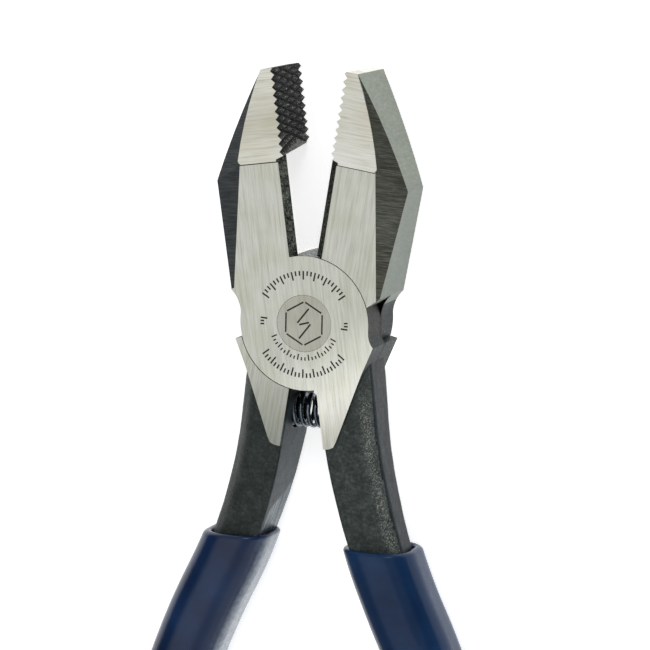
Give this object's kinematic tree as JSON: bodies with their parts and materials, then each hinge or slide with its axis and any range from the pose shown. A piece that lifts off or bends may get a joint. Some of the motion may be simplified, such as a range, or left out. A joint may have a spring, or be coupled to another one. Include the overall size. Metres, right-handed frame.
{
  "type": "lineman pliers",
  "caption": "Self-opening side-cutting pliers with a knurled square nose, lap joint, coil return spring and dipped grips.",
  "frame": {"origin": "on the pivot axis, at the underside ground face of the joint", "axes": "+Y from the pivot to the jaw tips, +Z along the pivot axis out of the front face, +X to the right jaw"},
  "size_m": [0.0973, 0.2324, 0.0158],
  "materials": {
    "forged_steel": "ground faces on the head and joint, black oxide on the knurl, bevels and handles",
    "rivet_steel": "ground flush",
    "spring_steel": "oiled black",
    "dipped_grip": "glossy dipped plastic"
  },
  "bodies": {
    "front_lever": {"front_half": "forged_steel", "right_grip": "dipped_grip", "pivot_rivet": "rivet_steel", "return_spring": "spring_steel"},
    "rear_lever": {"rear_half": "forged_steel", "left_grip": "dipped_grip"}
  },
  "joints": [
    {"name": "jaw_pivot", "type": "hinge", "parent": "front_lever", "child": "rear_lever", "pos_m": [0, 0, 0.00765], "axis": [0, 0, 1], "range_deg": [0, 16.5], "stiffness_Nm_per_rad": 2, "springref_deg": -11.46, "deforming": ["return_spring"]}
  ]
}
